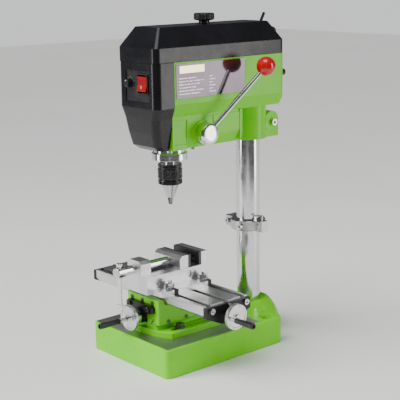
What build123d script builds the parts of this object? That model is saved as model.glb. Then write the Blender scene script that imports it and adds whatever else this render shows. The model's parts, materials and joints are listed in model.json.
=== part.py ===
from build123d import *
import os
from math import pi

# Benchtop milling machine. Millimetres, +Z up, the operator stands on the -Y side and +X is to the right.
# The origin is on the bench, under the axis of the column.

# Driving dimensions: base and column
BASE_HALF_W = 97.0
BASE_FRONT_Y = -261.5
BASE_REAR_Y = -13.0
BASE_H = 46.0
BASE_CORNER_R = 9.0
BOSS_R = 54.0
BASE_WALL = 9.0
BASE_SKIN = 12.0
BASE_POCKETS_Y = ((BASE_FRONT_Y + BASE_WALL, -159.0), (-151.0, -64.0))
COLUMN_R = 20.0
COLUMN_FOOT_Z = 8.0
COLUMN_TOP_Z = 404.0
MOUNT_HOLE_R = 5.5
MOUNT_HOLE_X = 82.0
MOUNT_HOLE_Y = -42.0
COLLAR_Z = (176.5, 193.7)
COLLAR_R = 29.5

# Driving dimensions: head
HEAD_HALF_W = 46.7
HEAD_LOW_HALF_W = 40.0
HEAD_SEAM_Y = -196.0
HEAD_REAR_Y = 40.0
HEAD_LOW_REAR_Y = 33.0
LOWER_REAR_Y = -53.0
HEAD_BOTTOM_Z = 338.0
HEAD_TOP_Z = 474.0
FOLD_LOW_Z = 390.0
FOLD_TOP_Z = 409.5
HEAD_FLOOR_Z = 400.0
HEAD_WALL = 4.0
SOCKET_R = 31.0
SOCKET_Z = (333.0, 405.0)
CLAMP_EAR_X = ((-22.0, -3.0), (3.0, 22.0))
CLAMP_BOLT = (37.0, 357.0)
NOSE_R = 31.0
NOSE_TOP_Z = 443.0
HEAD_SCREW_ROWS = (-144.0, -192.0)

# Driving dimensions: covers and controls. COVER_SECTIONS holds height, half width and front of each ring
SHELL = 3.0
COVER_SECTIONS = (
    (338.0, 31.0, -213.0),
    (345.0, 34.0, -222.0),
    (366.0, 37.0, -227.0),
    (388.0, 40.0, -230.0),
    (405.0, 46.7, -232.0),
    (474.0, 46.7, -232.0),
)
COVER_FRONT_Y = -232.0
COVER_BACK_Y = -150.0
COVER_CORNER_R = 11.0
COVER_BAND_Z = 496.0
COVER_TOP_Z = 526.0
COVER_TOP_HALF_W = 30.0
SWITCH_X = (-27.0, 31.0)
SWITCH_Z = (414.0, 462.0)
ROCKER_X = (4.0, 25.5)
ROCKER_Z = (429.0, 456.0)
DIAL_X = -17.5
DIAL_Z = 442.0
BEZEL_Y = (COVER_FRONT_Y + 1.5, COVER_FRONT_Y + 5.5)
LABEL_Y = (-193.0, -51.0)
LABEL_Z = (418.5, 471.5)
GLAND_AT = (28.0, 440.0)
KNOB_Y = -94.2
TENSION_X = 10.0
TENSION_PIVOT = (-4.5, 480.0)
TENSION_TIP = (10.0, 28.0, 537.0)
PIVOT_PIN_R = 1.5
LOCK_PLACE = Pos(24, 32, 508.6) * Rot(-55.4, 0, 0)

# Driving dimensions: spindle, drive and feed
SPINDLE_Y = -170.0
QUILL_R = 25.0
QUILL_LOW_Z = 317.8
QUILL_TOP_Z = 432.0
BEARING_SEAT = 13.0
PINION_R = 10.0
PINION_TEETH = 20
RACK_PITCH = 2 * pi * PINION_R / PINION_TEETH
RACK_TIP = QUILL_R - 0.6
PINION_Y = SPINDLE_Y + RACK_TIP - 0.6 + PINION_R
PINION_Z = 360.0
HUB_X = (43.6, 62.0)
HUB_R = 17.0
BALL_CENTRE = (87.0, -42.5, 460.0)
BALL_R = 15.25
MOTOR_Y = -66.0
MOTOR_R = 33.0
MOTOR_PLATE_Z = 452.0
MOTOR_WELL_Y = (-102.0, -31.5)
BELT_Z = 489.0
BELT_THICK = 4.0
PULLEY_W = 14.0
SPINDLE_PULLEY_R = 26.0
MOTOR_PULLEY_R = 13.0
NOSE_TIP_Z = 256.5
JAW_SLOPE = 0.15
JAW_Z = (245.0, 264.0)
CAVITY_TOP_Z = 284.0

# Driving dimensions: cross table
FOOT_HALF_W = 62.0
FOOT_Z = 56.0
FOOT_FRONT_Y = -222.0
FOOT_BULGE = 16.0
FOOT_REAR_Y = -98.0
WAY_LOW_Z = 64.0
WAY_TOP_Z = 72.0
SADDLE_HALF_W = 40.0
SADDLE_FRONT_Y = -232.0
SADDLE_REAR_Y = -118.0
SADDLE_Z = 95.6
LIP_Z = 105.5
TABLE_LEFT_X = -143.0
TABLE_RIGHT_X = 131.5
TABLE_FRONT_Y = -218.5
TABLE_REAR_Y = -128.5
TABLE_BOTTOM_Z = 96.0
TABLE_TOP_Z = 115.0
T_SLOT_PITCH = 35.0
T_SLOT_NECK = 8.0
T_SLOT_WIDE = 14.0
END_PLATE = 8.0
LEADSCREW_R = 5.0
X_SCREW_Z = 95.5
Y_SCREW_Z = 75.0
HANDWHEEL_R = 20.5
CRANK_R = 12.0
BRACKET_Y = (-240.0, -232.0)
WAY_GROOVE = 11.6
FOOT_SLOT_X = 49.0
FOOT_BOLT_ROWS = (-196.0, -122.0)
GIB_SCREW_X = (-26.0, 0.0, 26.0)
GIB_SCREW_Y = (-212.0, -175.0, -138.0)

# Driving dimensions: vise
VISE_X = -2.0
VISE_HALF_W = 32.0
VISE_FRONT_Y = -245.0
VISE_REAR_Y = -120.0
VISE_FLANGE_HALF_W = 59.0
VISE_BED_Z = 143.5
JAW_TOP_Z = 165.0
JAW_FACE_Y = -138.0
JAW_OPENING = 18.0
JAW_PLATE = 5.0
VISE_SCREW_Z = 152.0
VISE_SCREW_R = 7.5

GAP = 0.4
FIT = 0.05

# Values that follow from the driving dimensions. Each dial and wheel has its rear face and its width
TABLE_Y = (TABLE_FRONT_Y + TABLE_REAR_Y) / 2
X_DIAL = (TABLE_RIGHT_X + END_PLATE + 0.5, 10.5)
X_WHEEL = (TABLE_RIGHT_X + END_PLATE + 11.5, 7.5)
Y_DIAL = (BRACKET_Y[0] - 3.5, 10.0)
Y_WHEEL = (BRACKET_Y[0] - 14.5, 7.0)
X_CRANK_TURN = 270.0
Y_CRANK_TURN = 207.0
VISE_BOLT_X = 43.0
VISE_BOLT_Y = (TABLE_Y - T_SLOT_PITCH, TABLE_Y + T_SLOT_PITCH)
FLANGE_TOP_Z = TABLE_TOP_Z + 8.5
END_SCREWS = ((-T_SLOT_PITCH, 108.0, 4.6), (0.0, 111.2, 2.4), (T_SLOT_PITCH, 108.0, 4.6))
MOVING_FACE_Y = JAW_FACE_Y - JAW_OPENING
MOVING_FRONT_Y = -178.0
VISE_HEAD_Y = -274.0
T_BAR_LOW_Z = 98.0


# Small helpers for the shapes that repeat

def block(x, y, z):
    """A box from its limits along X, Y and Z."""
    size = [high - low for low, high in (x, y, z)]
    centre = [(low + high) / 2 for low, high in (x, y, z)]
    return Pos(*centre) * Box(*size)


def rod_x(radius, x, y, z):
    return Pos((x[0] + x[1]) / 2, y, z) * Rot(0, 90, 0) * Cylinder(radius, x[1] - x[0])


def rod_y(radius, x, y, z):
    return Pos(x, (y[0] + y[1]) / 2, z) * Rot(90, 0, 0) * Cylinder(radius, y[1] - y[0])


def rod_z(radius, x, y, z):
    return Pos(x, y, (z[0] + z[1]) / 2) * Cylinder(radius, z[1] - z[0])


def prism_x(outline, x):
    """An outline of (y, z) points, closed and extruded along X."""
    face = make_face(Polyline(*outline, close=True))
    return extrude(Plane.YZ.offset(x[0]) * face, amount=x[1] - x[0], dir=(1, 0, 0))


def prism_y(outline, y):
    """An outline of (x, z) points, closed and extruded along Y."""
    face = make_face(Polyline(*outline, close=True))
    return extrude(Plane.XZ.offset(-y[0]) * face, amount=y[1] - y[0], dir=(0, 1, 0))


def turned(outline):
    """A solid of revolution about Z from (r, z) points."""
    face = make_face(Polyline(*outline, close=True))
    return revolve(Plane.XZ * face, Axis.Z)


def about_x(solid, x, y, z):
    """Lays a solid turned about Z along +X, from the point given."""
    return Pos(x, y, z) * Rot(0, 90, 0) * solid


def about_minus_y(solid, x, y, z):
    """Lays a solid turned about Z along -Y, from the point given."""
    return Pos(x, y, z) * Rot(90, 0, 0) * solid


def cap_screw(radius, length, head_r, head_h):
    """A socket cap screw, head up, with the underside of its head at the origin."""
    screw = rod_z(head_r, 0, 0, (0, head_h)) + rod_z(radius, 0, 0, (-length, 0.1))
    socket = Pos(0, 0, head_h) * extrude(RegularPolygon(head_r * 0.55, 6), amount=-head_h * 0.6)
    return screw - socket


def hex_nut(radius, flats, height):
    nut = extrude(RegularPolygon(flats / 2, 6, major_radius=False), amount=height)
    return nut - rod_z(radius, 0, 0, (-1, height + 1))


# Base, column and stop collar

def base_casting():
    depth = (BASE_FRONT_Y, BASE_REAR_Y)
    plate = block((-BASE_HALF_W, BASE_HALF_W), depth, (0, BASE_H))
    plate = fillet(plate.edges().filter_by(Axis.Z), BASE_CORNER_R)
    plate = fillet(plate.faces().sort_by(Axis.Z)[-1].edges(), 3)
    pockets = [
        block((-BASE_HALF_W + BASE_WALL, BASE_HALF_W - BASE_WALL), y, (-1, BASE_H - BASE_SKIN))
        for y in BASE_POCKETS_Y
    ]
    plate -= pockets
    dome = turned(
        [
            (0, 0), (BOSS_R, 0), (BOSS_R, 14), (53, 20), (50.5, 28), (47.5, 35), (44, 41), (39, 48),
            (34, 53), (30, 54.5), (26, 53), (0, 46),
        ]
    )
    front_trim = prism_x([(-70, BASE_H), (-24, BASE_H), (10, 56), (10, 80), (-70, 80)], (-90, 90))
    plate = plate + (dome - front_trim) + rod_z(25, 0, 0, (0, BASE_H + 2.5))
    plate -= rod_z(COLUMN_R, 0, 0, (COLUMN_FOOT_Z, BASE_H + 40))
    plate -= rod_y(3.0, 0, (10, 70), 30)
    for side in (-1, 1):
        plate -= rod_z(MOUNT_HOLE_R, side * MOUNT_HOLE_X, MOUNT_HOLE_Y, (-1, BASE_H + 1))
        plate -= rod_z(MOUNT_HOLE_R + 3.5, side * MOUNT_HOLE_X, MOUNT_HOLE_Y, (BASE_H - 2, BASE_H + 1))
        for y in FOOT_BOLT_ROWS:
            plate -= rod_z(4.0, side * FOOT_SLOT_X, y, (BASE_H - BASE_SKIN - 1, BASE_H + 1))
    return plate


def column():
    tube = rod_z(COLUMN_R, 0, 0, (COLUMN_FOOT_Z, COLUMN_TOP_Z))
    tube = chamfer(tube.edges().sort_by(Axis.Z)[-1], 1.2)
    return tube - rod_z(COLUMN_R - 5, 0, 0, (COLUMN_FOOT_Z - 1, COLUMN_TOP_Z + 1))


def base_bolts():
    """Bolts and washers of the cross table's foot, and the set screw that holds the column."""
    parts = []
    for side in (-1, 1):
        for y in FOOT_BOLT_ROWS:
            washer = rod_z(8, 0, 0, (0, 1.6))
            parts.append(
                Pos(side * FOOT_SLOT_X, y, FOOT_Z) * (washer + Pos(0, 0, 1.6) * cap_screw(3.9, 24, 6.5, 6))
            )
    parts.append(Pos(0, BOSS_R - 2.4, 30) * Rot(-90, 0, 0) * cap_screw(2.95, 31, 2.9, 1))
    return parts


def stop_collar():
    mid = sum(COLLAR_Z) / 2
    ring = rod_z(COLLAR_R, 0, 0, COLLAR_Z)
    ring = chamfer(ring.edges().filter_by(GeomType.CIRCLE), 1.2)
    ears = block((-45, -24), (-12, 12), COLLAR_Z)
    ears = fillet(ears.edges().filter_by(Axis.Z).group_by(Axis.X)[0], 4)
    pad = block((22, 40), (-9, 9), COLLAR_Z)
    pad = fillet(pad.edges().filter_by(Axis.Z).group_by(Axis.X)[-1], 4)
    ring = ring + ears + pad
    ring -= rod_z(COLUMN_R + FIT, 0, 0, (COLLAR_Z[0] - 1, COLLAR_Z[1] + 1))
    ring -= block((-50, -15), (-1.2, 1.2), (COLLAR_Z[0] - 1, COLLAR_Z[1] + 1))
    ring -= rod_y(2.6, -37, (-20, 20), mid)
    ring -= rod_z(2.0, 34, 0, (COLLAR_Z[0] - 1, COLLAR_Z[1] + 1))
    return ring - rod_y(2.55, 12, (-40, -15), mid)


def collar_screws():
    """The collar's clamp screw and nut, a small stop screw and the bent wire through its right ear."""
    mid = sum(COLLAR_Z) / 2
    clamp = Pos(-37, -12, mid) * Rot(90, 0, 0) * cap_screw(2.5, 28.5, 4.4, 4.5)
    nut = Pos(-37, 12, mid) * Rot(-90, 0, 0) * hex_nut(2.55, 8.5, 3.5)
    stop = Pos(12, -28.7, mid) * Rot(90, 0, 0) * cap_screw(2.5, 7.2, 4.2, 3.5)
    top = COLLAR_Z[1] + 9
    path = FilletPolyline((34, 0, COLLAR_Z[0] - 3), (34, 0, top), (22, -9, top), radius=3)
    wire = sweep(Plane((34, 0, COLLAR_Z[0] - 3)) * Circle(1.9), path=path)
    return [clamp, nut, stop, wire]


# Head

def head_casting():
    """The box that holds the motor, the lower block round the quill and the slit socket on the column."""
    outline = [
        (-HEAD_LOW_HALF_W, FOLD_LOW_Z), (HEAD_LOW_HALF_W, FOLD_LOW_Z), (HEAD_HALF_W, FOLD_TOP_Z),
        (HEAD_HALF_W, HEAD_TOP_Z), (-HEAD_HALF_W, HEAD_TOP_Z), (-HEAD_HALF_W, FOLD_TOP_Z),
    ]
    body = prism_y(outline, (HEAD_SEAM_Y, HEAD_REAR_Y))
    body = fillet(body.edges().filter_by(Axis.Z).group_by(Axis.Y)[-1], 8)
    body -= prism_x(
        [(HEAD_LOW_REAR_Y, 389), (42, 389), (42, FOLD_TOP_Z), (HEAD_REAR_Y, FOLD_TOP_Z)], (-60, 60),
    )
    inner_w = HEAD_HALF_W - HEAD_WALL
    body -= block(
        (-inner_w, inner_w), (HEAD_SEAM_Y - 1, HEAD_REAR_Y - HEAD_WALL), (FOLD_TOP_Z + 2, HEAD_TOP_Z + 1),
    )
    body -= block((-37, 37), MOTOR_WELL_Y, (HEAD_FLOOR_Z - 3, HEAD_TOP_Z))
    body = body + lower_block() + inner_bars(inner_w)
    body += rod_z(SOCKET_R, 0, 0, (SOCKET_Z[0], FOLD_TOP_Z + 2))
    body += rod_z(NOSE_R, 0, SPINDLE_Y, (HEAD_BOTTOM_Z, NOSE_TOP_Z))
    body += [rod_x(15, side, 35, 361) for side in CLAMP_EAR_X]
    body += [block(side, (18, 50), (SOCKET_Z[0], 361)) for side in CLAMP_EAR_X]
    body += rod_x(20, (36, 43.2), PINION_Y, PINION_Z) + rod_x(18, (-47, -36), PINION_Y, PINION_Z)
    body -= block((-CLAMP_EAR_X[1][0], CLAMP_EAR_X[1][0]), (15, 60), (320, FOLD_LOW_Z))
    body -= rod_x(3.2, (-60, 60), CLAMP_BOLT[0], CLAMP_BOLT[1])
    body -= rod_z(COLUMN_R + FIT, 0, 0, (320, HEAD_TOP_Z - 20))
    body -= rod_z(QUILL_R + FIT, 0, SPINDLE_Y, (HEAD_BOTTOM_Z - 1, HEAD_TOP_Z))
    body -= rod_x(PINION_R + 2.2, (-7, 7), PINION_Y, PINION_Z)
    body -= rod_x(8 + FIT, (-60, 60), PINION_Y, PINION_Z)
    body -= rod_x(14, (-60, -41), PINION_Y, PINION_Z)
    body -= rod_y(6.2, GLAND_AT[0], (20, 60), GLAND_AT[1])
    body -= rod_x(PIVOT_PIN_R, (-5, 25), TENSION_PIVOT[0], TENSION_PIVOT[1])
    for y in HEAD_SCREW_ROWS:
        for side in (-1, 1):
            body -= rod_z(2.6, side * 27, y, (HEAD_BOTTOM_Z - 1, HEAD_BOTTOM_Z + 12))
    return body


def lower_block():
    """The solid block under the box, with its bevelled lower edges, side pads, rib and front panels."""
    body = block(
        (-HEAD_LOW_HALF_W, HEAD_LOW_HALF_W), (HEAD_SEAM_Y, LOWER_REAR_Y),
        (HEAD_BOTTOM_Z, FOLD_LOW_Z + 0.5),
    )
    for side in (-1, 1):
        edge = [(side * 41, 357), (side * 41, 337), (side * 33, 337)]
        body -= prism_y(edge, (-168, LOWER_REAR_Y + 1))
        body -= block(sorted((side * 38.6, side * 50)), (-191, -167), (346, 384))
        body += block(sorted((side * 39, side * 41.2)), (-113, LOWER_REAR_Y), (357, 386))
    body += block((-42, 42), (LOWER_REAR_Y - 4, LOWER_REAR_Y), (342, FOLD_LOW_Z + 0.5))
    return body + block((-16, 16), (LOWER_REAR_Y - 1, -15), (342, FOLD_LOW_Z + 0.5))


def inner_bars(inner_w):
    """Cross bars and ledges inside the box: the lid stud's bar, the tension lever's bar and the motor ledges."""
    reach = inner_w + 0.5
    bars = [block((-reach, reach), (KNOB_Y - 7, KNOB_Y + 7), (461, 466))]
    bars.append(block((-reach, reach), (TENSION_PIVOT[0] - 8, TENSION_PIVOT[0] + 6), (458, 463)))
    for low in (TENSION_X - 7, TENSION_X + 4):
        bars.append(
            block((low, low + 3), (TENSION_PIVOT[0] - 6, TENSION_PIVOT[0] + 5), (462, TENSION_PIVOT[1] + 5))
        )
    for side in (-1, 1):
        bars.append(
            block(sorted((side * 38, side * reach)), (MOTOR_Y - 38, MOTOR_Y + 38), (447, MOTOR_PLATE_Z))
        )
    return bars


def front_cover():
    """The black shell in front of the spindle. It tapers down and its front corners are rounded."""
    def loft_of(inset):
        rings = []
        for z, half_w, front in COVER_SECTIONS:
            depth = COVER_BACK_Y - front - inset
            ring = RectangleRounded(2 * (half_w - inset), depth, COVER_CORNER_R - inset)
            rings.append(Pos(0, front + inset + depth / 2, z) * ring)
        return loft(rings, ruled=True)

    in_front = block((-60, 60), (-250, HEAD_SEAM_Y - GAP / 2), (330, 480))
    shell = loft_of(0) & in_front
    hollow = loft_of(SHELL) & block((-60, 60), (-250, HEAD_SEAM_Y + 1), (HEAD_BOTTOM_Z + SHELL, 480))
    shell -= hollow
    shell -= rod_z(NOSE_R + GAP, 0, SPINDLE_Y, (330, 480))
    return shell - block(SWITCH_X, (COVER_FRONT_Y - 1, COVER_FRONT_Y + 2 * SHELL), SWITCH_Z)


def switch_bezel():
    """The recessed panel that holds the rocker switch and the speed knob."""
    plate = block(SWITCH_X, BEZEL_Y, SWITCH_Z)
    frame = block(
        (ROCKER_X[0] - 2, ROCKER_X[1] + 2), (BEZEL_Y[0] - 2.2, BEZEL_Y[1]),
        (ROCKER_Z[0] - 2, ROCKER_Z[1] + 2),
    )
    frame = fillet(frame.edges().filter_by(Axis.Y), 1.5)
    body = block(
        (ROCKER_X[0] - 1, ROCKER_X[1] + 1), (BEZEL_Y[1], BEZEL_Y[1] + 16), (ROCKER_Z[0], ROCKER_Z[1]),
    )
    speed = rod_y(10, DIAL_X, (BEZEL_Y[1], BEZEL_Y[1] + 12), DIAL_Z)
    panel = plate + frame + body + speed
    panel -= block(
        (ROCKER_X[0] - GAP, ROCKER_X[1] + GAP), (BEZEL_Y[0] - 5, BEZEL_Y[1] + 12),
        (ROCKER_Z[0], ROCKER_Z[1]),
    )
    return panel - rod_y(3 + FIT, DIAL_X, (BEZEL_Y[0] - 1, BEZEL_Y[1] + 10), DIAL_Z)


def rocker_switch():
    """A two-faced rocker that tips about a pin along X."""
    y = BEZEL_Y[0]
    mid = sum(ROCKER_Z) / 2
    reach = (ROCKER_Z[1] - ROCKER_Z[0]) / 2 - 2.2
    outline = [
        (y - 5.4, mid - reach), (y - 2.2, mid), (y - 2.8, mid + reach), (y + 4, mid + reach - 1),
        (y + 4, mid - reach + 1),
    ]
    cap = prism_x(outline, (ROCKER_X[0], ROCKER_X[1]))
    return fillet(cap.edges().filter_by(Axis.X).group_by(Axis.Y)[0], 0.8)


def speed_knob():
    knob = turned([(0, 0), (6.6, 0), (7.0, 1), (6.2, 8), (5.4, 9), (0, 9)])
    shaft = rod_z(3, 0, 0, (-11, 0.1))
    pointer = block((-0.7, 0.7), (2, 6.4), (8.2, 10))
    grip = [Rot(0, 0, turn) * rod_z(0.8, 6.9, 0, (1.5, 10)) for turn in range(0, 360, 24)]
    return about_minus_y(knob + shaft - pointer - grip, DIAL_X, BEZEL_Y[0] - 0.4, DIAL_Z)


def top_cover():
    """The black lid: a straight band, then bevels on all four sides up to a flat top."""
    def lid(inset, low, band, top):
        rings = []
        for z, half_w, front, rear, corner in (
            (low, HEAD_HALF_W, COVER_FRONT_Y, HEAD_REAR_Y, 9),
            (band, HEAD_HALF_W, COVER_FRONT_Y, HEAD_REAR_Y, 9),
            (top, COVER_TOP_HALF_W, -212, 20, 6),
        ):
            ring = RectangleRounded(2 * (half_w - inset), rear - front - 2 * inset, corner - inset * 0.9)
            rings.append(Pos(0, (front + rear) / 2, z) * ring)
        return loft(rings, ruled=True)

    cover = lid(0, HEAD_TOP_Z + GAP, COVER_BAND_Z, COVER_TOP_Z)
    cover -= lid(SHELL, HEAD_TOP_Z - 1, COVER_BAND_Z - 1, COVER_TOP_Z - SHELL)
    cover -= rod_z(3.6, 0, KNOB_Y, (500, 530))
    cover -= block((TENSION_X - 3.6, TENSION_X + 3.6), (2, 36), (490, 530))
    return cover - LOCK_PLACE * rod_z(2.45, 0, 0, (-10, 2))


def cover_knob():
    knob = turned([(0, 0), (8.5, 0), (8.5, 4), (15.0, 5.4), (16.5, 7), (16.5, 14.5), (15, 16), (0, 16)])
    flutes = [Rot(0, 0, turn) * rod_z(1.5, 17.2, 0, (4, 17)) for turn in range(0, 360, 15)]
    return Pos(0, KNOB_Y, COVER_TOP_Z + GAP) * (knob - flutes - rod_z(3 + FIT, 0, 0, (-1, 12)))


def head_screws():
    """Fasteners of the head: the lid's stud, cap screws under the head, the clamp screw and the pivot pin."""
    parts = [rod_z(3, 0, KNOB_Y, (466, COVER_TOP_Z + 11.5)), Pos(0, KNOB_Y, 466) * hex_nut(3, 10, 5)]
    for y in HEAD_SCREW_ROWS:
        for side in (-1, 1):
            parts.append(Pos(side * 27, y, HEAD_BOTTOM_Z) * Rot(180, 0, 0) * cap_screw(2.6, 11, 4.4, 4.2))
    reach = CLAMP_EAR_X[1][1]
    parts.append(Pos(reach, *CLAMP_BOLT) * Rot(0, 90, 0) * cap_screw(3.1, 2 * reach + 7, 5.6, 5.5))
    parts.append(Pos(-reach, *CLAMP_BOLT) * Rot(0, -90, 0) * hex_nut(3.1, 10, 5))
    parts.append(rod_x(PIVOT_PIN_R, (TENSION_X - 8, TENSION_X + 8), *TENSION_PIVOT))
    return parts


def rating_label():
    plate = block((HEAD_HALF_W, HEAD_HALF_W + 0.8), LABEL_Y, LABEL_Z)
    return fillet(plate.edges().filter_by(Axis.X), 1.5)


def cord_gland():
    """The moulded inlet in the rear wall. The flex itself is not part of the model."""
    body = turned([(0, -9), (6, -9), (6, 0), (9.5, 0), (9.5, 3), (7, 4), (5.5, 16), (0, 16)])
    body -= rod_z(3.4, 0, 0, (-10, 20))
    return Pos(GLAND_AT[0], HEAD_REAR_Y, GLAND_AT[1]) * Rot(-90, 0, 0) * body


def tension_lever():
    """The rod at the rear of the lid that swings to tension the belt."""
    pivot = Vector(TENSION_X, *TENSION_PIVOT)
    direction = (Vector(*TENSION_TIP) - pivot).normalized()
    length = (Vector(*TENSION_TIP) - pivot).length
    foot = rod_x(4.5, (TENSION_X - 3.6, TENSION_X + 3.6), *TENSION_PIVOT)
    rod = Plane(pivot + direction * (length / 2 + 1.5), z_dir=direction) * Cylinder(2.5, length - 3)
    tip = Pos(*TENSION_TIP) * Sphere(2.5)
    return foot + rod + tip - rod_x(PIVOT_PIN_R + FIT, (-20, 40), *TENSION_PIVOT)


def tension_lock_knob():
    """A small thumb screw on the lid's rear slope that locks the belt tension."""
    knob = turned([(0, -6), (2.4, -6), (2.4, 0), (5.6, 0), (6, 1), (6, 5), (5, 6), (0, 6)])
    flutes = [Rot(0, 0, turn) * rod_z(0.8, 6.2, 0, (-1, 7)) for turn in range(0, 360, 30)]
    return LOCK_PLACE * (knob - flutes)


# Drive

def motor():
    can = rod_z(MOTOR_R, 0, MOTOR_Y, (HEAD_FLOOR_Z - 1, MOTOR_PLATE_Z))
    can = chamfer(can.edges().filter_by(GeomType.CIRCLE).sort_by(Axis.Z)[0], 3)
    plate = block((-42, 42), (MOTOR_Y - 35, MOTOR_Y + 35), (MOTOR_PLATE_Z, MOTOR_PLATE_Z + 4))
    nose = rod_z(11, 0, MOTOR_Y, (MOTOR_PLATE_Z + 3, MOTOR_PLATE_Z + 8))
    return can + plate + nose - rod_z(4 + FIT, 0, MOTOR_Y, (440, 470))


def pulley_outline(radius, width):
    """Half-section points of a grooved pulley, from its lower face up."""
    rim = radius + 3
    root = radius - 2
    return [
        (0, 0), (rim, 0), (rim, 1.6), (root, width / 2 - 1.5), (root, width / 2 + 1.5),
        (rim, width - 1.6), (rim, width), (0, width),
    ]


def motor_pulley():
    pulley = Pos(0, MOTOR_Y, BELT_Z - PULLEY_W / 2) * turned(pulley_outline(MOTOR_PULLEY_R, PULLEY_W))
    return pulley + rod_z(4, 0, MOTOR_Y, (444, BELT_Z + 9))


def spindle_pulley():
    pulley = Pos(0, SPINDLE_Y, BELT_Z - PULLEY_W / 2) * turned(pulley_outline(SPINDLE_PULLEY_R, PULLEY_W))
    sleeve = rod_z(14, 0, SPINDLE_Y, (NOSE_TOP_Z + GAP, BELT_Z - PULLEY_W / 2 + 0.5))
    return pulley + sleeve - rod_z(7 + FIT, 0, SPINDLE_Y, (430, 510))


def drive_belt():
    """A flat-sided belt that runs a little clear of both pulleys."""
    def loop(extra):
        big = Pos(0, SPINDLE_Y) * Circle(SPINDLE_PULLEY_R + GAP + extra)
        small = Pos(0, MOTOR_Y) * Circle(MOTOR_PULLEY_R + GAP + extra)
        return make_hull((big + small).edges())

    ring = loop(BELT_THICK) - loop(0)
    return extrude(Pos(0, 0, BELT_Z - 2.5) * ring, amount=5)


def quill():
    """The sliding sleeve, with its nose flange, two bearing seats and the rack cut in its rear side."""
    body = rod_z(QUILL_R, 0, 0, (QUILL_LOW_Z, QUILL_TOP_Z))
    body += turned([
        (0, QUILL_LOW_Z), (27.4, QUILL_LOW_Z), (28.4, QUILL_LOW_Z + 1), (28.4, 328.5), (27, 330), (0, 330),
    ])
    body -= rod_z(17, 0, 0, (QUILL_LOW_Z - 1, QUILL_LOW_Z + BEARING_SEAT))
    body -= rod_z(17, 0, 0, (QUILL_TOP_Z - BEARING_SEAT, QUILL_TOP_Z + 1))
    body -= rod_z(12, 0, 0, (300, QUILL_TOP_Z + 1))
    rack_z = (PINION_Z - 6 * RACK_PITCH, PINION_Z + 14 * RACK_PITCH)
    body -= block((-5, 5), (RACK_TIP, QUILL_R + 5), rack_z)
    for k in range(-5, 14):
        middle = PINION_Z + k * RACK_PITCH
        body -= block((-5, 5), (RACK_TIP - 1.5, QUILL_R), (middle - 0.9, middle + 0.9))
    return Pos(0, SPINDLE_Y, 0) * body


def quill_bearings():
    rings = []
    for low in (QUILL_LOW_Z + BEARING_SEAT - 11, QUILL_TOP_Z - BEARING_SEAT):
        ring = rod_z(17, 0, SPINDLE_Y, (low, low + 11)) - rod_z(9, 0, SPINDLE_Y, (low - 1, low + 12))
        groove = rod_z(
            14.8, 0, SPINDLE_Y, (low + 9.4, low + 12),
        ) - rod_z(11.2, 0, SPINDLE_Y, (low + 9, low + 12))
        rings.append(ring - groove)
    return rings


def spindle():
    """The shaft from the chuck's taper up through the quill to the pulley."""
    outline = [
        (0, 296), (8.5, 296), (9.3, 311), (9.3, 318.5), (8.95, 319), (8.95, 434), (7, 436), (7, 512),
        (6, 513), (0, 513),
    ]
    return Pos(0, SPINDLE_Y, 0) * turned(outline)


def chuck_body():
    """The chuck's core and its bright nose, hollowed by a cone in which the jaws slide."""
    core = turned([(0, NOSE_TIP_Z), (6.0, NOSE_TIP_Z), (14.2, 278.5), (14.2, 311), (0, 311)])
    core -= turned([(0, 295.9), (8.55, 295.9), (9.35, 311), (9.35, 312), (0, 312)])
    cavity = [
        (0, NOSE_TIP_Z - 1), (jaw_r(NOSE_TIP_Z - 1) + 0.2, NOSE_TIP_Z - 1),
        (jaw_r(CAVITY_TOP_Z) + 0.2, CAVITY_TOP_Z), (0, CAVITY_TOP_Z),
    ]
    return Pos(0, SPINDLE_Y, 0) * (core - turned(cavity))


def jaw_r(z):
    """Outer radius of the closed jaws at a height inside the chuck's nose."""
    return 4.9 + JAW_SLOPE * (z - NOSE_TIP_Z)


def chuck_jaw(turn):
    """One of three jaws that meet on the axis. Each slides up and out along the cone's side."""
    cone = turned([
        (0, JAW_Z[0]), (jaw_r(JAW_Z[0]) - 0.5, JAW_Z[0]), (jaw_r(JAW_Z[0] + 2), JAW_Z[0] + 2),
        (jaw_r(JAW_Z[1]), JAW_Z[1]), (0, JAW_Z[1]),
    ])
    outline = Polyline((0.3, 0), (1.4, 1.9), (12, 1.9), (12, -1.9), (1.4, -1.9), close=True)
    wedge = Rot(0, 0, turn) * Pos(0, 0, JAW_Z[0]) * extrude(make_face(outline), amount=JAW_Z[1] - JAW_Z[0])
    return Pos(0, SPINDLE_Y, 0) * (cone & wedge)


def chuck_sleeve():
    outline = [
        (14.2 + FIT, 278.5), (18.4, 278.5), (19.4, 279.5), (19.4, 285), (18.2, 286), (18.2, 287.5),
        (19.7, 288.5), (19.7, 303), (18.6, 304.2),
        (18.6, 305.6), (19.2, 306.4), (19.2, 310), (18.4, 311), (14.2 + FIT, 311),
    ]
    sleeve = turned(outline)
    teeth = [Rot(0, 0, turn) * rod_z(0.8, 19.9, 0, (289.5, 302)) for turn in range(0, 360, 12)]
    holes = [Rot(0, 0, turn) * rod_x(2.2, (16.5, 25), 0, 282.3) for turn in (30, 150, 270)]
    return Pos(0, SPINDLE_Y, 0) * (sleeve - teeth - holes)


# Feed lever

def pinion_shaft():
    """The feed shaft across the head, with the pinion's teeth in the middle and a seat for the hub."""
    shaft = rod_x(8, (-46, HUB_X[0]), PINION_Y, PINION_Z) + rod_x(
        6, (HUB_X[0] - 0.5, HUB_X[1] - 2), PINION_Y, PINION_Z,
    )
    tooth = prism_x([(-1.2, 7.5), (1.2, 7.5), (0.5, 10.7), (-0.5, 10.7)], (-4.5, 4.5))
    for k in range(PINION_TEETH):
        shaft += Pos(0, PINION_Y, PINION_Z) * Rot(90 + 360 / PINION_TEETH * k, 0, 0) * tooth
    return shaft


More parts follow.
